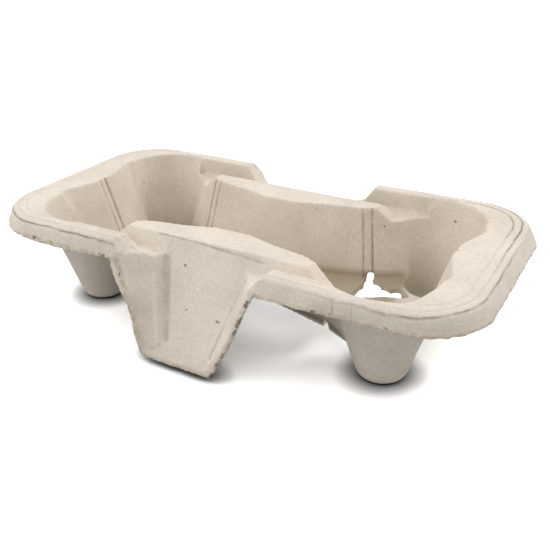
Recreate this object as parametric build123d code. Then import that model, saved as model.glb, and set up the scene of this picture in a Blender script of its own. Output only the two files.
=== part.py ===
from build123d import *
from math import atan2, cos
import os

# Two-cup carrier moulded from one sheet of paper pulp.
# Millimetres. X runs along the tray, Y across it, Z up from the table.
# The tray is the same in all four quarters, so its places are given for one.

# Sheet
wall = 2.2
overrun = 5.0

# Rim: a flat flange, a rolled bead and a short skirt that flares
rim_half_length = 101.25
rim_half_width = 49.5
rim_corner_radius = 22.0
rim_height = 43.8
bead_drop = 0.7
bead_end_spread = 2.7
bead_side_spread = 1.9
roll_drop = 1.9
roll_spread = 0.9
skirt_height = 7.5
skirt_end_spread = 6.5
skirt_side_spread = 4.5

# Cells: one dog-bone hollow. Corners of one quarter of its outline, at the
# rim and at the cell floor, and the radius that rounds each corner
cell_floor = 12.0
mouth_shares = (
    (0.838, 0.000), (0.838, 0.110), (0.893, 0.460), (0.650, 0.930), (0.585, 0.910),
    (0.545, 0.800), (0.478, 0.655), (0.390, 0.568), (0.356, 0.536), (0.200, 0.480),
    (0.080, 0.404), (0.000, 0.404),
)
floor_shares = (
    (0.732, 0.000), (0.732, 0.110), (0.746, 0.386), (0.603, 0.580), (0.560, 0.548),
    (0.530, 0.515), (0.485, 0.462), (0.439, 0.416), (0.403, 0.386), (0.200, 0.280),
    (0.080, 0.218), (0.000, 0.213),
)
corner_radius_shares = (0.080, 0.040, 0.020, 0.030, 0.050, 0.040, 0.010, 0.010, 0.060, 0.050)

# Corner feet: cones that hang from the corners of each mouth
foot_x = 68.2
foot_y = 25.5
foot_radius = 10.1
foot_tip_height = 3.0
foot_tip_radius = 7.0
foot_heel_radius = 9.0
foot_heel_height = 1.1
foot_mouth_x = 67.6
foot_mouth_y = 24.7
foot_mouth_radius = 23.0

# Pillar tops and the trough between them and the flange
strip_height = 41.4
strip_half_length = 41.5
strip_half_width = 33.8
strip_end_length = 6.5
ledge_height = 35.8
trough_inner_y = 38.2
trough_outer_y = 43.8
trough_draft = 1.0
trough_half_length = 60.0

# Notch in the rim, over each centre leg
notch_half_length = 33.3
notch_floor_half_length = 27.5

# Centre legs: a leaning panel, sunk between two flanks
leg_half_width = 62.4
leg_foot_height = 1.8
leg_lip_height = 2.4
panel_sink = 3.4
panel_foot_half_length = 10.2
panel_head_half_length = 19.4
crest_sink = 0.9
crest_foot_x = 13.0
crest_head_x = 24.2
crest_head_y = 41.0
trim_foot_x = 14.2
trim_head_x = 29.5

# Creases pressed into the cell walls
groove_radius = 0.6

# Torn holes between the cell floor and the walls
hole_height = 14.1
hole_shares = (
    (0.406, 0.077), (0.416, 0.136), (0.415, 0.215), (0.424, 0.284), (0.409, 0.380),
    (0.407, 0.500), (0.434, 0.500), (0.441, 0.395), (0.477, 0.375), (0.491, 0.333),
    (0.519, 0.326), (0.541, 0.304), (0.558, 0.348), (0.579, 0.359), (0.605, 0.324),
    (0.624, 0.296), (0.628, 0.255), (0.601, 0.207), (0.573, 0.201), (0.548, 0.188),
    (0.526, 0.166), (0.505, 0.131), (0.481, 0.107), (0.459, 0.068), (0.430, 0.067),
)

skirt_foot = rim_height - skirt_height
lip_top = leg_foot_height + leg_lip_height
panel_foot_y = leg_half_width - panel_sink
crest_foot_y = leg_half_width - crest_sink
panel_lean = atan2(panel_foot_y - strip_half_width, strip_height - lip_top)
panel_wall = wall / cos(panel_lean)


def mitred(points, amount):
    """Move each side of a closed polygon outward by the same amount."""
    area = sum(a[0] * b[1] - b[0] * a[1] for a, b in zip(points[-1:] + points[:-1], points))
    side = amount if area > 0 else -amount
    moved = []
    for i, corner in enumerate(points):
        here = Vector(*corner)
        back = (here - Vector(*points[i - 1])).normalized()
        ahead = (Vector(*points[(i + 1) % len(points)]) - here).normalized()
        out_back = Vector(back.Y, -back.X)
        out_ahead = Vector(ahead.Y, -ahead.X)
        miter = (out_back + out_ahead) * (side / (1 + out_back.dot(out_ahead)))
        moved.append((here.X + miter.X, here.Y + miter.Y))
    return moved


def wall_corners(z):
    """Corners of one quarter of the cell outline at a height, from +X to +Y."""
    rise = (z - cell_floor) / (rim_height - cell_floor)
    corners = []
    for low, high in zip(floor_shares, mouth_shares):
        x = low[0] + (high[0] - low[0]) * rise
        y = low[1] + (high[1] - low[1]) * rise
        corners.append((x * rim_half_length, y * rim_half_width))
    return corners


def cell_section(z, growth):
    """One quarter of the cell outline at a height, grown by the wall if asked."""
    corners = wall_corners(z)
    below = (corners[1][0], -corners[1][1])
    past = (-corners[-2][0], corners[-2][1])
    outline = mitred([below] + corners + [past, (0, -rim_half_width)], growth)[1:-2]
    radii = [share * rim_half_length for share in corner_radius_shares]
    edge = FilletPolyline(*[(x, y, z) for x, y in outline], radius=radii)
    end_x = outline[0][0]
    end_y = outline[-1][1]
    sides = Polyline((0, end_y, z), (0, 0, z), (end_x, 0, z))
    return make_face([edge, sides])


def cell(growth):
    """One quarter of the hollow of both cells and the waist between them."""
    low = cell_section(cell_floor - growth, growth)
    high = cell_section(rim_height + (0 if growth else overrun), growth)
    return loft([low, high], ruled=True)


def foot(inset):
    """One corner foot, or its hollow when inset by the wall."""
    tip = foot_tip_height + inset
    places = [
        (foot_x, foot_y, inset, foot_tip_radius),
        (foot_x, foot_y, foot_heel_height + inset, foot_heel_radius),
        (foot_x, foot_y, tip, foot_radius),
        (foot_mouth_x, foot_mouth_y, rim_height, foot_mouth_radius),
    ]
    discs = [Plane((x, y, z)) * Circle(radius - inset) for x, y, z, radius in places]
    cone = loft(discs, ruled=True)
    if inset:
        cone += extrude(discs[-1], overrun)
    return cone


def rim_section(z, end_spread, side_spread):
    length = 2 * (rim_half_length + end_spread)
    width = 2 * (rim_half_width + side_spread)
    radius = rim_corner_radius + side_spread
    return Plane((0, 0, z)) * RectangleRounded(length, width, radius)


def rim(inset):
    """Block under the rim's outer face, or its hollow when inset by the wall."""
    below = overrun if inset else 0
    bead = (bead_end_spread - inset, bead_side_spread - inset)
    roll = (bead[0] + roll_spread, bead[1] + roll_spread)
    sections = [
        rim_section(skirt_foot, skirt_end_spread - inset, skirt_side_spread - inset),
        rim_section(rim_height - roll_drop - inset, *roll),
        rim_section(rim_height - bead_drop - inset, *bead),
        rim_section(rim_height - inset, -inset, -inset),
    ]
    block = loft(sections, ruled=True)
    if below:
        block += extrude(sections[0], -below)
    return block


def profile(points, plane, growth, length):
    """Extrude a profile both ways from its plane, grown by the wall if asked."""
    face = make_face(Polyline(*mitred(points, growth), close=True))
    return extrude(plane * face, length, both=True)


def saddle(growth):
    """Space over the pillar tops, which drop to the ledge at their ends."""
    top = rim_height + overrun
    ramp = strip_half_length + strip_end_length
    end = trough_half_length
    points = [
        (-end, ledge_height), (-ramp, ledge_height), (-strip_half_length, strip_height),
        (strip_half_length, strip_height), (ramp, ledge_height), (end, ledge_height),
        (end, top), (-end, top),
    ]
    return profile(points, Plane.XZ, growth, trough_inner_y + growth)


def trough(growth):
    """Channel along the outside of both pillar tops."""
    top = rim_height + overrun
    points = [
        (strip_half_width, strip_height), (trough_inner_y, ledge_height),
        (trough_outer_y, ledge_height), (trough_outer_y + trough_draft, top),
        (strip_half_width, top),
    ]
    one = profile(points, Plane.YZ, growth, trough_half_length + growth)
    return one + mirror(one, about=Plane.XZ)


def notch(growth):
    """Gap in both long sides of the rim, with sloping ends."""
    slope = (notch_half_length - notch_floor_half_length) / (rim_height - ledge_height)
    top = rim_height + overrun
    head = notch_half_length + slope * overrun
    points = [
        (-notch_floor_half_length, ledge_height), (notch_floor_half_length, ledge_height),
        (head, top), (-head, top),
    ]
    across = profile(points, Plane.XZ, growth, leg_half_width + overrun)
    keep = trough_inner_y - growth
    return across - Box(2 * (head + overrun), 2 * keep, 2 * (top + overrun))


def recess_section(z, growth):
    """Outline of the space in front of one leg panel, at a height."""
    rise = (z - lip_top) / (strip_height - lip_top)
    climb = min((z - lip_top) / (skirt_foot - lip_top), 1)
    panel_x = panel_foot_half_length + (panel_head_half_length - panel_foot_half_length) * rise
    panel_y = panel_foot_y + (strip_half_width - panel_foot_y) * rise
    crest_x = crest_foot_x + (crest_head_x - crest_foot_x) * rise
    crest_y = crest_foot_y + (crest_head_y - crest_foot_y) * rise
    trim_x = trim_foot_x + (trim_head_x - trim_foot_x) * climb
    trim_y = leg_half_width + (rim_half_width + skirt_side_spread - leg_half_width) * climb
    past_y = leg_half_width + overrun
    half = [(panel_x, panel_y), (crest_x, crest_y), (trim_x, trim_y), (trim_x, past_y)]
    points = mitred([(-x, y) for x, y in reversed(half)] + half, growth)
    return Plane((0, 0, z)) * make_face(Polyline(*points, close=True))


def recess(growth):
    """Space in front of both leg panels."""
    drop = wall if growth else 0
    heights = (lip_top - drop, skirt_foot, strip_height + overrun)
    one = loft([recess_section(z, growth) for z in heights], ruled=True)
    return one + mirror(one, about=Plane.XZ)


def leg_envelope():
    """Everything inside the outer faces of the centre legs and under the rim."""
    reach = 2 * (trough_half_length + overrun)
    low = Plane((0, 0, leg_foot_height)) * Rectangle(reach, 2 * leg_half_width)
    high = Plane((0, 0, skirt_foot)) * Rectangle(reach, 2 * (rim_half_width + skirt_side_spread))
    return loft([low, high], ruled=True) + rim(0)


def grooves():
    """Creases down the cell wall, at its sharpest corners and at the tray's end."""
    sharpest = min(corner_radius_shares)
    low = wall_corners(cell_floor)
    high = wall_corners(rim_height)
    cuts = []
    for share, foot_end, head_end in zip((sharpest,) + corner_radius_shares, low, high):
        if share > sharpest:
            continue
        foot_end = Vector(*foot_end, cell_floor)
        head_end = Vector(*head_end, rim_height)
        disc = Plane(origin=foot_end, z_dir=head_end - foot_end) * Circle(groove_radius)
        cuts.append(extrude(disc, (head_end - foot_end).length))
    return cuts


def hole():
    """Torn hole in the cell floor, open a little way up the wall."""
    points = [(x * rim_half_length, y * rim_half_width) for x, y in hole_shares]
    outline = Polyline([(x, y, -overrun) for x, y in points], close=True)
    return extrude(make_face(outline), hole_height + overrun)


def quarter_space():
    """The quarter of space where X and Y are both positive."""
    reach = 2 * rim_half_length
    return Box(reach, reach, reach, align=(Align.MIN, Align.MIN, Align.CENTER))


def quarter():
    """One quarter of the tray: each form grown by the wall, less the form."""
    middle = saddle(wall) + trough(wall) + notch(wall) + recess(panel_wall)
    sheet = (rim(0) - rim(wall)) + (middle & leg_envelope())
    sheet = (sheet & quarter_space()) + cell(wall) + foot(0)
    for form in (cell(0), foot(wall), saddle(0), trough(0), notch(0), recess(0), hole()):
        sheet -= form
    for groove in grooves():
        sheet -= groove
    return sheet


def carrier():
    """The whole tray: one quarter, mirrored along and across."""
    side = quarter()
    half = side + mirror(side, about=Plane.YZ)
    return half + mirror(half, about=Plane.XZ)


os.makedirs("parts", exist_ok=True)
tray = carrier()
export_step(tray, "parts/carrier_tray.step")
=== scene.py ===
"""Drink carrier moulded from paper pulp: its surface, the studio and the camera."""

import logging
import math
from dataclasses import dataclass
from enum import Enum

import bmesh
import bpy
from mathutils import Matrix, Vector, noise
from mathutils.bvhtree import BVHTree


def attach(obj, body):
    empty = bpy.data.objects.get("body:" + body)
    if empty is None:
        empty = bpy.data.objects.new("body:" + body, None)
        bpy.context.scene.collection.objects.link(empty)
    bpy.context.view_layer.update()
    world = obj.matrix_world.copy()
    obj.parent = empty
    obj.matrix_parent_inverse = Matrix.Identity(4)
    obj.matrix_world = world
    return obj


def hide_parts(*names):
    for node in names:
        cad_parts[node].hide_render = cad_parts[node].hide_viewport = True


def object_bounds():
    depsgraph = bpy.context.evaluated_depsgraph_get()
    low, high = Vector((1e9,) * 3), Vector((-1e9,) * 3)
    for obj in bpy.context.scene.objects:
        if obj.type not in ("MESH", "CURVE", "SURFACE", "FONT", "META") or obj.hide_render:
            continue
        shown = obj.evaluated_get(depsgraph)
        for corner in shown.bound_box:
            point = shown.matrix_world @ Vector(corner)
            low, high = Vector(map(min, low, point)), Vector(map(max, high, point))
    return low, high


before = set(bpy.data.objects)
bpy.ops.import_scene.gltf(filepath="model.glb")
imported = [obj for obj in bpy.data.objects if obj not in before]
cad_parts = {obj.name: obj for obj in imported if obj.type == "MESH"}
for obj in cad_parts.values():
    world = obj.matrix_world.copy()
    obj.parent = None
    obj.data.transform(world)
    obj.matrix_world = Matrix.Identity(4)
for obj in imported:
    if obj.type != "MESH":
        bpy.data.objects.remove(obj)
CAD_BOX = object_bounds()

LOG = logging.getLogger("carrier")
MM = 0.001
Point = tuple[float, float, float]
Span = tuple[float, float]
Shade = tuple[int, int, int]

SCREEN_WHITE = 255
CURVE_KNEE = 0.04045
CURVE_SLOPE = 12.92
CURVE_LIFT = 0.055
CURVE_POWER = 2.4
MIX_SHARE, MIX_FIRST, MIX_SECOND, MIX_RESULT = 0, 6, 7, 2


class Surface(Enum):
    """Where a crease is pressed: the rim, every like wall, or one wall only."""

    RIM = "rim"
    WALLS = "walls"
    ONE_WALL = "one wall"


def linear(red: int, green: int, blue: int) -> tuple[float, float, float, float]:
    """Turn a colour as it is seen on a screen into the renderer's own.

    Args:
        red: Red, from 0 to 255.
        green: Green, from 0 to 255.
        blue: Blue, from 0 to 255.

    Returns:
        The linear colour, with an alpha of 1.
    """
    parts = []
    for value in (red, green, blue):
        part = value / SCREEN_WHITE
        if part <= CURVE_KNEE:
            parts.append(part / CURVE_SLOPE)
        else:
            parts.append(((part + CURVE_LIFT) / (1 + CURVE_LIFT)) ** CURVE_POWER)
    return (*parts, 1.0)


def select_only(obj: bpy.types.Object) -> None:
    """Deselect everything, then select one object and make it active.

    Args:
        obj: The object that the next operator acts on.
    """
    bpy.ops.object.select_all(action="DESELECT")
    obj.select_set(True)
    bpy.context.view_layer.objects.active = obj


def ease(value: float, low: float, high: float) -> float:
    """Change smoothly from 0 to 1.

    Args:
        value: The value to read.
        low: The value up to which the result is 0.
        high: The value from which the result is 1.

    Returns:
        The eased share.
    """
    share = min(max((value - low) / (high - low), 0.0), 1.0)
    return share * share * (3 - 2 * share)


@dataclass
class NodeDesk:
    """Places and links the nodes of one material or group."""

    tree: bpy.types.NodeTree

    def add(self, kind: str, **settings: object) -> bpy.types.Node:
        """Add a node.

        Args:
            kind: The node's type, without its Shader Node prefix.
            **settings: Properties to set on it.

        Returns:
            The new node.
        """
        node = self.tree.nodes.new("ShaderNode" + kind)
        for name, value in settings.items():
            setattr(node, name, value)
        return node

    def put(self, value: object, socket: bpy.types.NodeSocket) -> None:
        """Link a socket, or write a plain value, into an input.

        Args:
            value: The socket or value.
            socket: The input.
        """
        if isinstance(value, bpy.types.NodeSocket):
            self.tree.links.new(value, socket)
        else:
            socket.default_value = value

    def math(self, operation: str, *values: object, clamp: bool = False) -> bpy.types.NodeSocket:
        """Add a Math node.

        Args:
            operation: Its operation, such as ADD.
            *values: Its inputs in order, as sockets or numbers.
            clamp: Whether the result is kept between 0 and 1.

        Returns:
            Its output.
        """
        node = self.add("Math", operation=operation, use_clamp=clamp)
        for socket, value in zip(node.inputs, values):
            self.put(value, socket)
        return node.outputs[0]

    def ramp(self, value: object, low: float, high: float, start: float, end: float) -> bpy.types.NodeSocket:
        """Map a value from one range to another, clamped, with soft ends.

        Args:
            value: The value to map.
            low: The value that gives start.
            high: The value that gives end.
            start: What it gives at low.
            end: What it gives at high.

        Returns:
            The mapped value.
        """
        node = self.add("MapRange", interpolation_type="SMOOTHSTEP", clamp=True)
        for socket, item in zip(node.inputs, (value, low, high, start, end)):
            self.put(item, socket)
        return node.outputs[0]

    def vector(self, operation: str, first: object, second: object) -> bpy.types.NodeSocket:
        """Add a Vector Math node.

        Args:
            operation: Its operation, such as SUBTRACT.
            first: Its first vector.
            second: Its second vector.

        Returns:
            Its vector.
        """
        node = self.add("VectorMath", operation=operation)
        self.put(first, node.inputs[0])
        self.put(second, node.inputs[1])
        return node.outputs["Vector"]

    def dot(self, first: object, second: object) -> bpy.types.NodeSocket:
        """Multiply two vectors into one number.

        Args:
            first: The first vector.
            second: The second vector.

        Returns:
            Their dot product.
        """
        node = self.add("VectorMath", operation="DOT_PRODUCT")
        self.put(first, node.inputs[0])
        self.put(second, node.inputs[1])
        return node.outputs["Value"]

    def noise(self, place: object, scale: float, detail: float, rough: float = 0.55) -> bpy.types.NodeSocket:
        """Add a noise texture.

        Args:
            place: The coordinates it reads.
            scale: Its scale.
            detail: Its number of octaves.
            rough: Its roughness.

        Returns:
            Its value.
        """
        node = self.add("TexNoise")
        self.put(place, node.inputs["Vector"])
        node.inputs["Scale"].default_value = scale
        node.inputs["Detail"].default_value = detail
        node.inputs["Roughness"].default_value = rough
        return node.outputs[0]

    def blend(self, share: object, first: object, second: object) -> bpy.types.NodeSocket:
        """Mix two colours.

        Args:
            share: How much of the second there is.
            first: The first colour.
            second: The second colour.

        Returns:
            The mixed colour.
        """
        node = self.add("Mix", data_type="RGBA")
        self.put(share, node.inputs[MIX_SHARE])
        self.put(first, node.inputs[MIX_FIRST])
        self.put(second, node.inputs[MIX_SECOND])
        return node.outputs[MIX_RESULT]

    def seen(self) -> bpy.types.NodeSocket:
        """Tell what the camera sees from what only lights the scene.

        Returns:
            1 for what is seen straight, in a reflection or through glass, and 0 for the rest.
        """
        path = self.add("LightPath")
        seen = self.math("MAXIMUM", path.outputs["Is Camera Ray"], path.outputs["Is Glossy Ray"])
        return self.math("MAXIMUM", seen, path.outputs["Is Transmission Ray"])


@dataclass(frozen=True)
class Crease:
    """A thin line pressed into the pulp, and drawn darker as painted shade.

    Sizes are in metres. A rim crease follows a rounded rectangle, and is deepest
    round one point; a wall crease runs straight from its foot to its head.
    """

    surface: Surface
    width: float
    depth: float = 1.0
    deepest: Point = (0.0, 0.0, 0.0)
    reach: float = 0.08
    half_length: float = 0.0
    half_width: float = 0.0
    radius: float = 0.0
    foot: Point = (0.0, 0.0, 0.0)
    head: Point = (0.0, 0.0, 0.0)


@dataclass(frozen=True)
class Mark:
    """A speck or a torn chip, as a stretched spot; sizes are in metres."""

    place: Point
    radius: float
    along: Point = (0.0, 0.0, 0.0)
    depth: float = 0.8


@dataclass(frozen=True)
class PressedLine:
    """The group that marks a rounded rectangle pressed into the flange."""

    name: str = "pressed_line"

    def group(self) -> bpy.types.NodeTree:
        """Find the group, or build it on its first use.

        Returns:
            The group.
        """
        found = bpy.data.node_groups.get(self.name)
        if found:
            return found
        tree = bpy.data.node_groups.new(self.name, "ShaderNodeTree")
        face = tree.interface
        face.new_socket("Place", in_out="INPUT", socket_type="NodeSocketVector")
        for name in ("Straight X", "Straight Y", "Radius", "Width", "Stray", "Lowest"):
            face.new_socket(name, in_out="INPUT", socket_type="NodeSocketFloat")
        face.new_socket("Mask", in_out="OUTPUT", socket_type="NodeSocketFloat")
        desk = NodeDesk(tree)
        given = tree.nodes.new("NodeGroupInput").outputs
        result = tree.nodes.new("NodeGroupOutput").inputs
        split = desk.add("SeparateXYZ")
        desk.put(given["Place"], split.inputs[0])
        past_x = desk.math("SUBTRACT", desk.math("ABSOLUTE", split.outputs[0]), given["Straight X"])
        past_y = desk.math("SUBTRACT", desk.math("ABSOLUTE", split.outputs[1]), given["Straight Y"])
        out_x = desk.math("MAXIMUM", past_x, 0.0)
        out_y = desk.math("MAXIMUM", past_y, 0.0)
        square = desk.math("ADD", desk.math("MULTIPLY", out_x, out_x), desk.math("MULTIPLY", out_y, out_y))
        inside = desk.math("MINIMUM", desk.math("MAXIMUM", past_x, past_y), 0.0)
        reach = desk.math("ADD", desk.math("SQRT", square), inside)
        away = desk.math("SUBTRACT", reach, given["Radius"])
        away = desk.math("ABSOLUTE", desk.math("ADD", away, given["Stray"]))
        line = desk.math("SUBTRACT", 1.0, desk.math("DIVIDE", away, given["Width"]), clamp=True)
        above = desk.math("GREATER_THAN", split.outputs[2], given["Lowest"])
        desk.put(desk.math("MULTIPLY", line, above), result["Mask"])
        return tree


@dataclass(frozen=True)
class PressedSeam:
    """The group that marks a straight seam down a wall."""

    name: str = "pressed_seam"

    def group(self) -> bpy.types.NodeTree:
        """Find the group, or build it on its first use.

        Returns:
            The group.
        """
        found = bpy.data.node_groups.get(self.name)
        if found:
            return found
        tree = bpy.data.node_groups.new(self.name, "ShaderNodeTree")
        face = tree.interface
        for name in ("Place", "Foot", "Head"):
            face.new_socket(name, in_out="INPUT", socket_type="NodeSocketVector")
        for name in ("Width", "Stray"):
            face.new_socket(name, in_out="INPUT", socket_type="NodeSocketFloat")
        face.new_socket("Mask", in_out="OUTPUT", socket_type="NodeSocketFloat")
        desk = NodeDesk(tree)
        given = tree.nodes.new("NodeGroupInput").outputs
        result = tree.nodes.new("NodeGroupOutput").inputs
        away = desk.vector("SUBTRACT", given["Place"], given["Foot"])
        run = desk.vector("SUBTRACT", given["Head"], given["Foot"])
        share = desk.math("DIVIDE", desk.dot(away, run), desk.dot(run, run), clamp=True)
        scaled = desk.add("VectorMath", operation="SCALE")
        desk.put(run, scaled.inputs[0])
        desk.put(share, scaled.inputs["Scale"])
        gap = desk.vector("SUBTRACT", away, scaled.outputs[0])
        length = desk.math("SQRT", desk.dot(gap, gap))
        length = desk.math("ADD", length, given["Stray"])
        desk.put(
            desk.math("SUBTRACT", 1.0, desk.math("DIVIDE", length, given["Width"]), clamp=True),
            result["Mask"],
        )
        return tree


@dataclass(frozen=True)
class PulpFinish:
    """Matt, fibrous paper pulp with pressed creases and torn edges, and with painted
    shade in its hollows, nooks and creases and low in its cells.

    The scales of patterns are given per metre, and other sizes are in metres. A
    span gives the two values between which a mask grows, and a share says how
    much of its colour shows at most.
    """

    name: str = "pulp"
    light: Shade = (227, 217, 204)
    dark: Shade = (208, 197, 183)
    cloud_scale: float = 48.0
    cloud_part: float = 0.45
    fibre_scale: float = 950.0
    fibre_part: float = 0.55
    tone_span: Span = (0.34, 0.66)
    grain_scale: float = 2100.0

    # Painted shade: the hollows and nooks, which light hardly reaches, are drawn darker.
    deep_shade: Shade = (164, 156, 138)
    deep_shade_span: Span = (0.22, 0.66)
    deep_shade_share: float = 0.6
    nook_shade: Shade = (150, 132, 108)
    nook_shade_span: Span = (0.04, 0.45)
    nook_shade_share: float = 0.75

    # Painted shade: a brown band low on the cells' inner walls, where little light reaches.
    low_shade: Shade = (148, 132, 108)
    low_shade_share: float = 0.75
    low_shade_across: Span = (26 * MM, 30 * MM)
    low_shade_along: Span = (56 * MM, 64 * MM)
    low_shade_height: Span = (13 * MM, 17 * MM)
    low_shade_floor: float = 11.4 * MM

    fleck: Shade = (120, 104, 86)
    fleck_scale: float = 130.0
    fleck_size: float = 0.045
    fleck_rarity: float = 0.9
    fleck_share: float = 0.7

    chip: Shade = (92, 78, 58)
    chip_scale: float = 210.0
    chip_span: Span = (0.6, 0.68)
    chip_share: float = 0.85
    torn: Shade = (172, 156, 124)
    torn_scale: float = 330.0
    torn_span: Span = (0.35, 0.7)
    torn_shares: Span = (0.1, 0.75)

    # Painted shade: creases and shaded seams are drawn in this colour; their dip in the bump is real relief.
    crease: Shade = (112, 92, 70)
    crease_shade_share: float = 0.85
    crease_lowest: float = 41.2 * MM
    crease_least: float = 0.22
    crease_near: float = 0.35
    rim_stray: float = 1.8 * MM
    seam_stray: float = 0.25 * MM
    mark_stray: float = 1.6

    roughness: float = 0.95
    specular: float = 0.1
    bump_strength: float = 0.42
    bump_distance: float = 0.5 * MM
    fibre_height: float = 0.7
    grain_height: float = 0.3
    crease_height: float = 1.2
    torn_height: float = 1.2

    creases: tuple[Crease, ...] = ()
    marks: tuple[Mark, ...] = ()

    def build(self) -> bpy.types.Material:
        """Build the material.

        Returns:
            The material, ready to be given to a piece.
        """
        material = bpy.data.materials.new(self.name)
        material.use_nodes = True
        tree = material.node_tree
        shader = tree.nodes["Principled BSDF"]
        desk = NodeDesk(tree)
        place = desk.add("TexCoord").outputs["Object"]

        cloud = desk.noise(place, self.cloud_scale, 4.0)
        fibre = desk.noise(place, self.fibre_scale, 3.0, 0.7)
        grain = desk.noise(place, self.grain_scale, 2.0)
        pressed = self.pressed(desk, place)
        edge = desk.add("Attribute", attribute_name="torn").outputs["Fac"]
        ragged = desk.noise(place, self.torn_scale, 3.0, 0.6)
        chips = desk.noise(place, self.chip_scale, 2.0, 0.5)

        clouds = desk.math("MULTIPLY", cloud, self.cloud_part)
        tone = desk.math("ADD", clouds, desk.math("MULTIPLY", fibre, self.fibre_part))
        tone = desk.ramp(tone, *self.tone_span, 0.0, 1.0)
        colour = desk.blend(tone, linear(*self.dark), linear(*self.light))
        colour = self.shaded(desk, place, colour)
        colour = desk.blend(self.flecks(desk, place), colour, linear(*self.fleck))
        colour = desk.blend(self.marked(desk, place), colour, linear(*self.chip))
        # Painted shade along the creases and shaded seams.
        colour = desk.blend(desk.math("MULTIPLY", pressed, self.crease_shade_share), colour, linear(*self.crease))
        share = desk.math("MULTIPLY", edge, desk.ramp(ragged, *self.torn_span, *self.torn_shares))
        colour = desk.blend(share, colour, linear(*self.torn))
        share = desk.math("MULTIPLY", edge, desk.ramp(chips, *self.chip_span, 0.0, self.chip_share))
        colour = desk.blend(share, colour, linear(*self.chip))
        desk.put(colour, shader.inputs["Base Color"])
        shader.inputs["Roughness"].default_value = self.roughness
        shader.inputs["Specular IOR Level"].default_value = self.specular

        fibres = desk.math("MULTIPLY", fibre, self.fibre_height)
        height = desk.math("ADD", fibres, desk.math("MULTIPLY", grain, self.grain_height))
        height = desk.math("SUBTRACT", height, desk.math("MULTIPLY", pressed, self.crease_height))
        tears = desk.math("MULTIPLY", edge, desk.math("MULTIPLY", ragged, self.torn_height))
        height = desk.math("ADD", height, tears)
        bump = desk.add("Bump")
        bump.inputs["Strength"].default_value = self.bump_strength
        bump.inputs["Distance"].default_value = self.bump_distance
        desk.put(height, bump.inputs["Height"])
        desk.put(bump.outputs[0], shader.inputs["Normal"])
        return material

    def shaded(
        self, desk: NodeDesk, place: bpy.types.NodeSocket, colour: bpy.types.NodeSocket
    ) -> bpy.types.NodeSocket:
        """Paint shade into the hollows, the nooks and a brown band low on the cells' inner walls.

        Args:
            desk: The material's desk.
            place: The coordinates to read.
            colour: The colour to darken.

        Returns:
            The darkened colour.
        """
        # Painted shade in the hollows, darker where a point is more shut in.
        hollow_shade = desk.add("Attribute", attribute_name="hollow_shade").outputs["Fac"]
        share = desk.ramp(hollow_shade, *self.deep_shade_span, 0.0, self.deep_shade_share)
        colour = desk.blend(share, colour, linear(*self.deep_shade))
        # Painted shade: a brown band low on the cells' inner walls, near the holes.
        split = desk.add("SeparateXYZ")
        desk.put(place, split.inputs[0])
        across = desk.ramp(desk.math("ABSOLUTE", split.outputs[1]), *self.low_shade_across, 1.0, 0.0)
        along = desk.ramp(desk.math("ABSOLUTE", split.outputs[0]), *self.low_shade_along, 1.0, 0.0)
        low = desk.ramp(split.outputs[2], *self.low_shade_height, self.low_shade_share, 0.0)
        low = desk.math("MULTIPLY", low, desk.math("GREATER_THAN", split.outputs[2], self.low_shade_floor))
        share = desk.math("MULTIPLY", low, desk.math("MULTIPLY", across, along))
        colour = desk.blend(share, colour, linear(*self.low_shade))
        # Painted shade in the nooks, close beside other parts of the sheet.
        nook_shade = desk.add("Attribute", attribute_name="nook_shade").outputs["Fac"]
        share = desk.ramp(nook_shade, *self.nook_shade_span, 0.0, self.nook_shade_share)
        return desk.blend(share, colour, linear(*self.nook_shade))

    def flecks(self, desk: NodeDesk, place: bpy.types.NodeSocket) -> bpy.types.NodeSocket:
        """Mark scattered dark fibres.

        Args:
            desk: The material's desk.
            place: The coordinates to read.

        Returns:
            How much fleck colour shows.
        """
        spots = desk.add("TexVoronoi", feature="F1")
        desk.put(place, spots.inputs["Vector"])
        spots.inputs["Scale"].default_value = self.fleck_scale
        near = desk.math("LESS_THAN", spots.outputs["Distance"], self.fleck_size)
        pick = desk.add("SeparateColor")
        desk.put(spots.outputs["Color"], pick.inputs[0])
        chosen = desk.math("GREATER_THAN", pick.outputs[0], self.fleck_rarity)
        return desk.math("MULTIPLY", desk.math("MULTIPLY", near, chosen), self.fleck_share)

    def marked(self, desk: NodeDesk, place: bpy.types.NodeSocket) -> bpy.types.NodeSocket:
        """Mark the specks and chips.

        Args:
            desk: The material's desk.
            place: The coordinates to read.

        Returns:
            How much of the chip colour shows.
        """
        wander = desk.math("SUBTRACT", desk.noise(place, 700.0, 2.0), 0.5)
        total: bpy.types.NodeSocket | float = 0.0
        for mark in self.marks:
            group = desk.add("Group")
            group.node_tree = PressedSeam().group()
            middle, half = Vector(mark.place), Vector(mark.along) * 0.5
            group.inputs["Foot"].default_value = middle - half
            group.inputs["Head"].default_value = middle + half + Vector((0, 0, 0.01 * MM))
            group.inputs["Width"].default_value = mark.radius
            desk.put(desk.math("MULTIPLY", wander, self.mark_stray * mark.radius), group.inputs["Stray"])
            desk.put(place, group.inputs["Place"])
            solid = desk.math("MULTIPLY", desk.ramp(group.outputs["Mask"], 0.0, 0.35, 0.0, 1.0), mark.depth)
            total = desk.math("MAXIMUM", total, solid)
        return total

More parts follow.
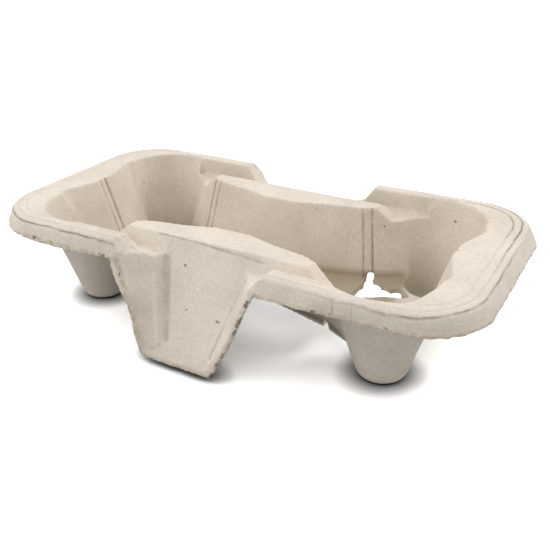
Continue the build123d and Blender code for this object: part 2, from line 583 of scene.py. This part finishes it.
    def pressed(self, desk: NodeDesk, place: bpy.types.NodeSocket) -> bpy.types.NodeSocket:
        """Mark every crease and shaded seam, whose darker colour is painted shade.

        Args:
            desk: The material's desk.
            place: The coordinates to read.

        Returns:
            The strongest of the creases at each point.
        """
        wander = desk.math("SUBTRACT", desk.noise(place, 90.0, 3.0), 0.5)
        broken = desk.ramp(desk.noise(place, 160.0, 2.0), 0.3, 0.6, 0.45, 1.0)
        mirror = desk.add("VectorMath", operation="ABSOLUTE")
        desk.put(place, mirror.inputs[0])
        total: bpy.types.NodeSocket | float = 0.0
        for crease in self.creases:
            group = desk.add("Group")
            depth: bpy.types.NodeSocket | float = crease.depth
            if crease.surface is Surface.RIM:
                group.node_tree = PressedLine().group()
                group.inputs["Straight X"].default_value = crease.half_length - crease.radius
                group.inputs["Straight Y"].default_value = crease.half_width - crease.radius
                group.inputs["Radius"].default_value = crease.radius
                group.inputs["Lowest"].default_value = self.crease_lowest
                desk.put(desk.math("MULTIPLY", wander, self.rim_stray), group.inputs["Stray"])
                away = desk.vector("SUBTRACT", place, crease.deepest)
                far = desk.math("SQRT", desk.dot(away, away))
                near, least = self.crease_near * crease.reach, self.crease_least * crease.depth
                depth = desk.ramp(far, near, crease.reach, crease.depth, least)
            else:
                group.node_tree = PressedSeam().group()
                group.inputs["Foot"].default_value = crease.foot
                group.inputs["Head"].default_value = crease.head
                desk.put(desk.math("MULTIPLY", wander, self.seam_stray), group.inputs["Stray"])
            group.inputs["Width"].default_value = crease.width
            on_every_wall = crease.surface is Surface.WALLS
            desk.put(mirror.outputs[0] if on_every_wall else place, group.inputs["Place"])
            total = desk.math("MAXIMUM", total, desk.math("MULTIPLY", group.outputs["Mask"], depth))
        return desk.math("MULTIPLY", total, broken)


@dataclass(frozen=True)
class Bow:
    """A place where the rim or a leg is pushed out of line, in metres."""

    middle: Point
    reach: Point
    shift: Point


@dataclass(frozen=True)
class Bead:
    """A narrow bead that stands out of the leg or the pillar, or a groove in it, in metres."""

    foot: Point
    head: Point
    width: float
    lift: float


@dataclass
class PulpTray:
    """The tray's pulp sheet: soft edges, an uneven surface and ragged trims.

    Sizes are in metres and follow the solid model's own. A shaded seam, a pressed
    line drawn darker as painted shade, is given by its width in millimetres, its depth, its foot and its
    head.
    """

    node: str = "carrier_tray"
    seed: int = 7
    voxel: float = 0.7 * MM
    merge_gap: float = 0.01 * MM
    soften_rounds: int = 1
    soften_share: float = 0.5
    kept_faces: int = 190_000
    wave_size: float = 26.0 * MM
    wave_depth: float = 0.25 * MM
    wave_heights: Span = (1.5 * MM, 10 * MM)
    rim_half_length: float = 101.25 * MM
    rim_half_width: float = 49.5 * MM
    rim_radius: float = 22.0 * MM
    skirt_start: float = 2.0 * MM
    skirt_foot: float = 36.3 * MM
    second_fold: float = 2.6 * MM
    inner_fold: float = 3.2 * MM
    leg_half_width: float = 62.4 * MM
    leg_foot: float = 1.8 * MM
    trim_foot_x: float = 15.6 * MM
    trim_head_x: float = 31.5 * MM
    trim_head_y: float = 54.0 * MM
    tear_start: float = 0.6 * MM
    tear_reach: float = 1.8 * MM
    tear_depth: float = 0.4 * MM
    tear_coarse: float = 6.0 * MM
    tear_fine: float = 1.7 * MM
    tear_coarse_share: float = 0.6
    tear_lowest: float = -0.3
    look_rays: int = 18
    look_start: float = 0.3 * MM
    look_lean: float = 1.01
    hollow_reach: float = 70.0 * MM
    nook_reach: float = 5.0 * MM
    blur_rounds: int = 5
    bows: tuple[Bow, ...] = (
        Bow((-0.068, -0.055, 0.040), (0.040, 0.014, 0.012), (0.0, -0.0012, -0.0014)),
        Bow((0.070, -0.041, 0.044), (0.024, 0.0115, 0.030), (0.0, -0.0044, 0.0)),
        Bow((0.076, -0.055, 0.036), (0.034, 0.012, 0.007), (0.0, 0.0012, 0.0)),
        Bow((-0.031, -0.056, 0.031), (0.014, 0.014, 0.026), (-0.0034, 0.0, 0.0)),
        Bow((-0.018, -0.061, 0.008), (0.009, 0.012, 0.026), (-0.0018, 0.0, 0.0)),
        Bow((0.031, -0.055, 0.033), (0.014, 0.014, 0.022), (-0.0016, 0.0, 0.0)),
        Bow((0.0015, -0.060, 0.004), (0.0145, 0.012, 0.034), (0.0028, 0.0, 0.0)),
        Bow((0.082, -0.038, 0.044), (0.021, 0.012, 0.028), (0.0, -0.0042, 0.0)),
        Bow((-0.0285, -0.048, 0.036), (0.010, 0.011, 0.010), (0.0, 0.0, 0.0032)),
    )
    bead_outward: Point = (0.0, -0.83, 0.56)
    bead_front: float = -30.0 * MM
    bead_half_span: float = 28.0 * MM
    bead_flatten: float = 0.7
    beads: tuple[Bead, ...] = (
        Bead((-0.0114, -0.0576, 0.0070), (-0.0209, -0.0432, 0.0350), 1.7 * MM, 0.9 * MM),
        Bead((-0.0086, -0.0556, 0.0080), (-0.0181, -0.0402, 0.0340), 1.8 * MM, -0.9 * MM),
        Bead((0.0128, -0.0570, 0.0075), (0.0188, -0.0418, 0.0335), 1.8 * MM, -1.1 * MM),
        Bead((0.0152, -0.0592, 0.0065), (0.0222, -0.0466, 0.0330), 1.5 * MM, 0.9 * MM),
        Bead((-0.0054, -0.0341, 0.0408), (0.0240, -0.0353, 0.0397), 1.0 * MM, -0.35 * MM),
    )
    # Lines and bands of painted shade on the leg, skirt and flange, each also a dip in the bump.
    shaded_seams: tuple[tuple[float, float, Point, Point], ...] = (
        (0.6, 0.55, (-0.0250, -0.0340, 0.0411), (-0.0054, -0.0341, 0.0409)),
        (0.6, 0.7, (-0.0054, -0.0341, 0.0407), (0.0240, -0.0353, 0.0396)),
        (2.2, 0.34, (-0.0088, -0.0556, 0.0075), (-0.0183, -0.0402, 0.0340)),
        (2.0, 0.42, (0.0132, -0.0570, 0.0070), (0.0192, -0.0418, 0.0335)),
        (0.5, 0.7, (0.0167, -0.0598, 0.0070), (0.0236, -0.0472, 0.0330)),
        (0.5, 0.55, (-0.0250, -0.0462, 0.0375), (-0.0310, -0.0474, 0.0405)),
        (0.5, 0.45, (-0.0250, -0.0462, 0.0375), (-0.0205, -0.0440, 0.0358)),
        (0.55, 0.75, (0.0600, -0.0520, 0.0430), (0.0607, -0.0533, 0.0366)),
        (0.45, 0.5, (0.0669, -0.0521, 0.0425), (0.0674, -0.0529, 0.0368)),
        (0.45, 0.8, (-0.0173, -0.0618, 0.0039), (-0.0127, -0.0600, 0.0052)),
        (6.0, 0.30, (0.0560, -0.0530, 0.0365), (0.0985, -0.0465, 0.0365)),
        (5.0, 0.22, (0.0985, -0.0465, 0.0365), (0.1085, -0.0250, 0.0365)),
        (8.0, 0.26, (-0.0175, -0.0612, 0.0050), (-0.0235, -0.0575, 0.0220)),
        (4.5, 0.24, (-0.0140, -0.0605, 0.0030), (0.0150, -0.0605, 0.0030)),
    )

    def build(self) -> bpy.types.Object:
        """Model and dress the sheet.

        Returns:
            The finished piece.
        """
        noise.seed_set(self.seed)
        sheet = self.remeshed_copy()
        self.soften(sheet)
        self.unsettle(sheet)
        self.bend(sheet)
        self.raise_beads(sheet)
        self.tear(sheet)
        self.thin(sheet)
        self.keep_inside(sheet)
        self.shade(sheet)
        sheet.data.materials.clear()
        sheet.data.materials.append(PulpFinish(creases=self.creases(), marks=self.marks()).build())
        for face in sheet.data.polygons:
            face.use_smooth = True
        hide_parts(self.node)
        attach(sheet, "root")
        return sheet

    def creases(self) -> tuple[Crease, ...]:
        """List the creases.

        Returns:
            Those of the rim, of the cell walls and of the front, in that order.
        """
        inner = (self.rim_half_length, self.rim_half_width, self.rim_radius)
        outer = tuple(size + self.second_fold for size in inner)
        inmost = tuple(size - self.inner_fold for size in inner)
        back_corner = (0.094, 0.042, 0.0438)
        back_left = (-0.05, 0.0495, 0.0438)
        end = (0.104, -0.034, 0.0438)
        front_left = (-0.075, -0.0515, 0.0438)
        right_corner = (0.092, 0.038, 0.0438)
        right_foot, right_head = (0.0741, 0.0, 0.012), (0.08485, 0.0, 0.0438)
        left_foot, left_head = (-0.0741, -0.0032, 0.012), (-0.08485, -0.0032, 0.0438)
        first_foot, first_head = (0.04445, 0.0206, 0.012), (0.0395, 0.0281, 0.0438)
        second_foot, second_head = (0.0408, 0.0191, 0.012), (0.03604, 0.02653, 0.0438)
        # Each crease is a dip in the bump and a line of painted shade.
        rim = (
            Crease(Surface.RIM, 0.6 * MM, 1.0, back_corner, 0.06, *inner),
            Crease(Surface.RIM, 0.6 * MM, 0.55, back_left, 0.08, *inner),
            Crease(Surface.RIM, 0.5 * MM, 0.8, end, 0.06, *outer),
            Crease(Surface.RIM, 0.5 * MM, 0.9, front_left, 0.07, *outer),
            Crease(Surface.RIM, 0.6 * MM, 0.9, right_corner, 0.03, *inmost),
        )
        walls = (
            Crease(Surface.WALLS, 0.8 * MM, 0.9, foot=first_foot, head=first_head),
            Crease(Surface.WALLS, 0.8 * MM, 0.9, foot=second_foot, head=second_head),
            Crease(Surface.WALLS, 0.9 * MM, 1.0, foot=right_foot, head=right_head),
            Crease(Surface.ONE_WALL, 0.8 * MM, 0.45, foot=left_foot, head=left_head),
        )
        front = tuple(
            Crease(Surface.ONE_WALL, width * MM, depth, foot=foot, head=head)
            for width, depth, foot, head in self.shaded_seams
        )
        return (*rim, *walls, *front)

    def marks(self) -> tuple[Mark, ...]:
        """List the specks and torn chips, whose sizes in the lists are in millimetres.

        Returns:
            The specks, then the chips.
        """
        speck_depth, chip_depth = 0.7, 0.75
        specks = (
            (-0.0847, 0.0266, 0.0325, 0.55),
            (-0.0243, -0.0394, 0.0359, 0.5),
            (-0.0093, -0.0395, 0.0328, 0.6),
            (-0.0033, -0.0487, 0.0194, 0.45),
            (0.0456, 0.0281, 0.0340, 0.5),
            (0.0717, 0.0424, 0.0359, 0.7),
            (0.0166, 0.0214, 0.0392, 0.35),
            (0.0174, 0.0181, 0.0279, 0.35),
            (-0.0858, -0.0179, 0.0364, 0.4),
        )
        edge = Vector((0.41, 0.22, 0.88))
        chips = (
            ((0.0283, -0.0547, 0.0333), 0.8, edge * 0.0020),
            ((0.0257, -0.0563, 0.0261), 0.8, edge * 0.0035),
            ((0.0243, -0.0572, 0.0220), 0.6, edge * 0.0015),
            ((0.0192, -0.0604, 0.0103), 0.6, edge * 0.0060),
            ((0.0111, -0.0493, 0.0182), 0.6, Vector((0.0000, -0.0016, 0.0024))),
            ((0.0121, -0.0497, 0.0189), 0.5, Vector((0.0002, -0.0012, 0.0018))),
        )
        spots = [Mark((x, y, z), size * MM, depth=speck_depth) for x, y, z, size in specks]
        tears = [Mark(place, size * MM, tuple(along), chip_depth) for place, size, along in chips]
        return (*spots, *tears)

    def remeshed_copy(self) -> bpy.types.Object:
        """Copy the tray's solid, close it and give it an even mesh.

        Returns:
            The new object.
        """
        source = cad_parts[self.node]
        sheet = bpy.data.objects.new("pulp_sheet", source.data.copy())
        bpy.context.scene.collection.objects.link(sheet)
        form = bmesh.new()
        form.from_mesh(sheet.data)
        bmesh.ops.remove_doubles(form, verts=form.verts, dist=self.merge_gap)
        form.to_mesh(sheet.data)
        form.free()
        select_only(sheet)
        even = sheet.modifiers.new("even", "REMESH")
        even.mode = "VOXEL"
        even.voxel_size = self.voxel
        bpy.ops.object.modifier_apply(modifier=even.name)
        return sheet

    def soften(self, sheet: bpy.types.Object) -> None:
        """Round the edges as wet pulp leaves them.

        Args:
            sheet: The tray's sheet, changed in place.
        """
        select_only(sheet)
        soft = sheet.modifiers.new("soft", "SMOOTH")
        soft.factor = self.soften_share
        soft.iterations = self.soften_rounds
        bpy.ops.object.modifier_apply(modifier=soft.name)

    def unsettle(self, sheet: bpy.types.Object) -> None:
        """Give the sheet slow waves, so that no wall is quite flat.

        Args:
            sheet: The tray's sheet, changed in place.
        """
        for vertex in sheet.data.vertices:
            spot = vertex.co
            keep = ease(spot.z, *self.wave_heights)
            shift = noise.noise_vector(spot / self.wave_size) * (self.wave_depth * keep)
            vertex.co = spot + shift

    def bend(self, sheet: bpy.types.Object) -> None:
        """Bow parts of the rim, as handling and drying leave them.

        Args:
            sheet: The tray's sheet, changed in place.
        """
        for vertex in sheet.data.vertices:
            spot = vertex.co
            for bow in self.bows:
                away = spot - Vector(bow.middle)
                share = math.hypot(*(a / r for a, r in zip(away, bow.reach)))
                if share < 1.0:
                    vertex.co = vertex.co + Vector(bow.shift) * ease(1.0 - share, 0.0, 1.0)

    def raise_beads(self, sheet: bpy.types.Object) -> None:
        """Press the beads and grooves of the front leg.

        Args:
            sheet: The tray's sheet, changed in place.
        """
        outward = Vector(self.bead_outward)
        for vertex in sheet.data.vertices:
            if vertex.co.y > self.bead_front or abs(vertex.co.x) > self.bead_half_span:
                continue
            for bead in self.beads:
                foot, head = Vector(bead.foot), Vector(bead.head)
                run = head - foot
                share = min(max((vertex.co - foot).dot(run) / run.length_squared, 0.0), 1.0)
                gap = vertex.co - foot - run * share
                gap -= outward * (gap.dot(outward) * self.bead_flatten)
                if gap.length < bead.width:
                    lift = bead.lift * ease(bead.width - gap.length, 0.0, bead.width)
                    vertex.co = vertex.co + outward * lift

    def thin(self, sheet: bpy.types.Object) -> None:
        """Merge faces where the sheet is plain.

        Args:
            sheet: The tray's sheet, changed in place.
        """
        select_only(sheet)
        triangles = sum(len(face.vertices) - 2 for face in sheet.data.polygons)
        fewer = sheet.modifiers.new("fewer", "DECIMATE")
        fewer.ratio = min(1.0, self.kept_faces / triangles)
        bpy.ops.object.modifier_apply(modifier=fewer.name)

    def shade(self, sheet: bpy.types.Object) -> None:
        """Mark the hollows and nooks, for the shade that the finish paints into them.

        Args:
            sheet: The tray's sheet, whose attributes are added.
        """
        mesh = sheet.data
        tree = BVHTree.FromPolygons([v.co for v in mesh.vertices], [tuple(p.vertices) for p in mesh.polygons])
        rays = self.rays()
        hollow_shade, nook_shade = [], []
        for vertex in mesh.vertices:
            start = vertex.co + vertex.normal * self.look_start
            deep_shade = close = 0.0
            for ray in rays:
                aim = (ray + vertex.normal * self.look_lean).normalized()
                away = tree.ray_cast(start, aim, self.hollow_reach)[3]
                if away is not None:
                    deep_shade += 1 - away / self.hollow_reach
                    close += max(0.0, 1 - away / self.nook_reach)
            hollow_shade.append(deep_shade / self.look_rays)
            nook_shade.append(close / self.look_rays)
        edges = [tuple(edge.vertices) for edge in mesh.edges]
        for name, values, rounds in (("hollow_shade", hollow_shade, self.blur_rounds), ("nook_shade", nook_shade, 1)):
            for _ in range(rounds):
                values = self.blurred(values, edges)
            marks = mesh.attributes.new(name, "FLOAT", "POINT")
            marks.data.foreach_set("value", values)

    def rays(self) -> list[Vector]:
        """Spread directions evenly over a sphere, along a golden spiral.

        Returns:
            The directions, each of length 1.
        """
        rays = []
        for number in range(self.look_rays):
            high = 1 - (2 * number + 1) / self.look_rays
            turn = number * math.pi * (3 - math.sqrt(5))
            flat = math.sqrt(1 - high * high)
            rays.append(Vector((flat * math.cos(turn), flat * math.sin(turn), high)))
        return rays

    def blurred(self, values: list[float], edges: list[tuple[int, int]]) -> list[float]:
        """Average each point's value with its neighbours'.

        Args:
            values: One value for each point.
            edges: The pairs of points that touch.

        Returns:
            The averaged values.
        """
        total = list(values)
        count = [1] * len(values)
        for a, b in edges:
            total[a] += values[b]
            total[b] += values[a]
            count[a] += 1
            count[b] += 1
        return [value / number for value, number in zip(total, count)]

    def rim_reach(self, x: float, y: float) -> float:
        """Measure how far a point lies outside the flange's outer fold.

        Args:
            x: Its distance from the tray's middle, along the tray.
            y: Its distance from the tray's middle, across the tray.

        Returns:
            The distance, negative inside the fold.
        """
        past_x = abs(x) - (self.rim_half_length - self.rim_radius)
        past_y = abs(y) - (self.rim_half_width - self.rim_radius)
        inside = min(max(past_x, past_y), 0.0)
        return math.hypot(max(past_x, 0.0), max(past_y, 0.0)) + inside - self.rim_radius

    def trim_gap(self, spot: Vector) -> float:
        """Return the distance from a point to the nearest cut edge.

        Args:
            spot: The point, in the tray's frame.

        Returns:
            The distance to the skirt's lower edge or to a leg's trim.
        """
        x, y, z = abs(spot.x), abs(spot.y), spot.z
        gap = 1.0
        reach = self.rim_reach(x, y)
        if reach > self.skirt_start and x > self.trim_head_x:
            gap = abs(z - self.skirt_foot)
        foot = Vector((self.trim_foot_x, self.leg_half_width, self.leg_foot))
        head = Vector((self.trim_head_x, self.trim_head_y, self.skirt_foot))
        place = Vector((x, y, z))
        run = head - foot
        share = min(max((place - foot).dot(run) / run.length_squared, 0.0), 1.0)
        gap = min(gap, (place - foot - run * share).length)
        if x < self.trim_foot_x:
            gap = min(gap, math.hypot(y - self.leg_half_width, z - self.leg_foot))
        return gap

    def tear(self, sheet: bpy.types.Object) -> None:
        """Make the cut edges ragged, and mark them for the finish.

        Args:
            sheet: The tray's sheet, changed in place.
        """
        marks = sheet.data.attributes.new("torn", "FLOAT", "POINT")
        values = [0.0] * len(sheet.data.vertices)
        for vertex in sheet.data.vertices:
            share = 1.0 - ease(self.trim_gap(vertex.co), self.tear_start, self.tear_reach)
            if share <= 0.0:
                continue
            values[vertex.index] = share
            push = noise.noise_vector(vertex.co / self.tear_coarse) * self.tear_coarse_share
            push += noise.noise_vector(vertex.co / self.tear_fine)
            push.z = max(push.z, self.tear_lowest)
            vertex.co += push * (self.tear_depth * share)
        marks.data.foreach_set("value", values)

    def keep_inside(self, sheet: bpy.types.Object) -> None:
        """Hold every point inside the solid model's box.

        Args:
            sheet: The tray's sheet, changed in place.
        """
        low, high = CAD_BOX
        for vertex in sheet.data.vertices:
            vertex.co = Vector(min(max(value, a), b) for value, a, b in zip(vertex.co, low, high))


@dataclass(frozen=True)
class Lamp:
    """One soft square lamp that faces the tray: sizes in metres, power in watts."""

    name: str
    place: Point
    side: float
    power: float


@dataclass(frozen=True)
class PaintedGlow:
    """A spot of painted light on the floor, which only the camera sees; sizes are in metres."""

    middle: Point
    reach: float
    strength: float


@dataclass
class Studio:
    """Pale floor, soft lamps and the camera; angles are in degrees."""

    azimuth: float = 30.8
    elevation: float = 27.7
    roll: float = -1.4
    eye: tuple[float, float, float] = (0.14633, -0.2328, 0.15669)
    lens: float = 46.335
    sensor: float = 36.0
    clip_start: float = 0.01
    floor_side: float = 6.0
    floor_bounce: float = 0.5
    floor_tint: tuple[float, float, float] = (0.97, 0.985, 1.0)
    floor_lift: float = 1.0
    painted_glow_core: float = 0.4
    painted_glows: tuple[PaintedGlow, ...] = (
        PaintedGlow((0.044, 0.034, 0.0), 0.022, 0.5),
        PaintedGlow((0.015, -0.017, 0.0), 0.045, 0.12),
        PaintedGlow((0.014, -0.002, 0.0), 0.034, 0.28),
    )
    contact_shadow_reach: float = 9.5 * MM
    contact_shadow_power: float = 2.2
    aim: Point = (0.0, 0.0, 0.02)
    lamps: tuple[Lamp, ...] = (
        Lamp("left", (-1.15, -0.1, 0.9), 0.7, 2.5),
        Lamp("front", (-0.95, -0.75, 0.7), 0.6, 3.2),
        Lamp("behind", (0.7, 1.0, 0.8), 0.6, 7.0),
    )
    sky_low: float = 0.6
    sky_high: float = 1.0

    def build(self) -> None:
        """Build everything round the tray."""
        self.floor()
        for lamp in self.lamps:
            self.hang(lamp)
        self.sky()
        self.camera()

    def floor(self) -> None:
        """Lay a white floor that keeps the tray's shadow, a painted contact shadow and painted light spots.
        """
        bpy.ops.object.select_all(action="DESELECT")
        bpy.ops.mesh.primitive_plane_add(size=self.floor_side, location=(0, 0, 0))
        floor = bpy.context.active_object
        floor.name = "floor"
        material = bpy.data.materials.new("floor_white")
        material.use_nodes = True
        tree = material.node_tree
        tree.nodes.remove(tree.nodes["Principled BSDF"])
        desk = NodeDesk(tree)
        seen = desk.seen()
        black = (0, 0, 0, 1)
        plain = desk.add("BsdfDiffuse")
        plain.inputs["Color"].default_value = (*[self.floor_bounce] * 3, 1)
        # Painted contact shadow: the floor's colour darkens where the tray is close above it.
        contact_shadow = desk.add("AmbientOcclusion")
        contact_shadow.inputs["Distance"].default_value = self.contact_shadow_reach
        open_share = desk.math("POWER", contact_shadow.outputs["AO"], self.contact_shadow_power)
        bright = desk.add("BsdfDiffuse")
        desk.put(desk.blend(open_share, black, (*self.floor_tint, 1)), bright.inputs["Color"])
        lift = desk.add("BsdfDiffuse")
        desk.put(desk.blend(open_share, black, (*[self.floor_lift] * 3, 1)), lift.inputs["Color"])
        both = desk.add("AddShader")
        desk.put(bright.outputs[0], both.inputs[0])
        desk.put(lift.outputs[0], both.inputs[1])
        pick = desk.add("MixShader")
        desk.put(seen, pick.inputs[0])
        desk.put(plain.outputs[0], pick.inputs[1])
        desk.put(both.outputs[0], pick.inputs[2])
        # Spots of painted light on the floor, seen only by the camera.
        pale = desk.add("Emission")
        place = desk.add("TexCoord").outputs["Object"]
        total: bpy.types.NodeSocket | float = 0.0
        for glow in self.painted_glows:
            away = desk.vector("SUBTRACT", place, glow.middle)
            far = desk.math("SQRT", desk.dot(away, away))
            spot = desk.ramp(far, self.painted_glow_core * glow.reach, glow.reach, glow.strength, 0.0)
            total = desk.math("ADD", total, spot)
        shown = desk.math("MULTIPLY", desk.math("MULTIPLY", total, open_share), seen)
        desk.put(shown, pale.inputs["Strength"])
        whole = desk.add("AddShader")
        desk.put(pick.outputs[0], whole.inputs[0])
        desk.put(pale.outputs[0], whole.inputs[1])
        desk.put(whole.outputs[0], tree.nodes["Material Output"].inputs["Surface"])
        floor.data.materials.append(material)

    def hang(self, lamp: Lamp) -> None:
        """Hang one lamp.

        Args:
            lamp: The lamp, which is turned to the tray.
        """
        data = bpy.data.lights.new(lamp.name, "AREA")
        data.size = lamp.side
        data.energy = lamp.power
        hung = bpy.data.objects.new(lamp.name, data)
        hung.location = lamp.place
        aim = Vector(self.aim) - Vector(lamp.place)
        hung.rotation_euler = aim.to_track_quat("-Z", "Y").to_euler()
        bpy.context.scene.collection.objects.link(hung)

    def sky(self) -> None:
        """Light the scene from all round, most from above, and show white behind it."""
        world = bpy.data.worlds.new("studio")
        world.use_nodes = True
        bpy.context.scene.world = world
        desk = NodeDesk(world.node_tree)
        shade = world.node_tree.nodes["Background"]
        seen = desk.seen()
        split = desk.add("SeparateXYZ")
        desk.put(desk.add("TexCoord").outputs["Generated"], split.inputs[0])
        glow = desk.ramp(split.outputs[2], 0.0, 1.0, self.sky_low, self.sky_high)
        strength = desk.add("MapRange")
        for socket, item in zip(strength.inputs, (seen, 0.0, 1.0, glow, 1.0)):
            desk.put(item, socket)
        shade.inputs["Color"].default_value = (1, 1, 1, 1)
        desk.put(strength.outputs[0], shade.inputs["Strength"])

    def camera(self) -> None:
        """Place the camera where the photograph was taken from."""
        data = bpy.data.cameras.new("camera")
        data.lens = self.lens
        data.sensor_width = self.sensor
        data.clip_start = self.clip_start
        turn, tilt, lean = (math.radians(a) for a in (self.azimuth, self.elevation, self.roll))
        ahead = Vector((-math.sin(turn) * math.cos(tilt), math.cos(turn) * math.cos(tilt), -math.sin(tilt)))
        side = Vector((math.cos(turn), math.sin(turn), 0))
        up = side.cross(ahead)
        right = side * math.cos(lean) + up * math.sin(lean)
        above = up * math.cos(lean) - side * math.sin(lean)
        camera = bpy.data.objects.new("camera", data)
        axes = Matrix((right, above, -ahead)).transposed().to_4x4()
        camera.matrix_world = Matrix.Translation(self.eye) @ axes
        bpy.context.scene.collection.objects.link(camera)
        bpy.context.scene.camera = camera


def main() -> None:
    """Build the tray and the studio, and report each piece."""
    logging.basicConfig(level=logging.INFO, format="%(message)s")
    scene = bpy.context.scene
    scene.view_settings.view_transform = "Standard"
    Studio().build()
    LOG.info("studio: floor, lamps and camera")
    sheet = PulpTray().build()
    LOG.info("pulp sheet: %d faces", len(sheet.data.polygons))


if __name__ == "__main__":
    main()
